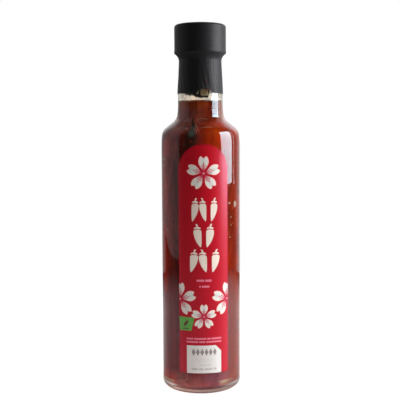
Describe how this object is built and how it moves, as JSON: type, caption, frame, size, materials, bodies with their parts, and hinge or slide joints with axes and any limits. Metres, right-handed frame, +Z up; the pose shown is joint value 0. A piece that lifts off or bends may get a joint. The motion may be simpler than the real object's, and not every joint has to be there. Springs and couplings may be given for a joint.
{
  "type": "hot sauce bottle",
  "caption": "Slim round glass bottle of dark red hot sauce, closed by a black shrink capsule, with a tall arched red paper label on the front.",
  "frame": {"origin": "centre of the bottle's base, on the surface that it stands on", "axes": "+Z up along the bottle's axis; the label faces -Y, with its middle turned 4 degrees towards +X"},
  "size_m": [0.049, 0.0496, 0.2274],
  "materials": {
    "clear_glass": "clear, glossy",
    "hot_sauce": "dark red-brown liquid, wet",
    "black_capsule": "matt black shrink film",
    "red_label": "smooth printed paper, satin"
  },
  "bodies": {
    "root": {"bottle_glass": "clear_glass", "sauce": "hot_sauce", "capsule": "black_capsule", "label": "red_label"}
  },
  "joints": []
}
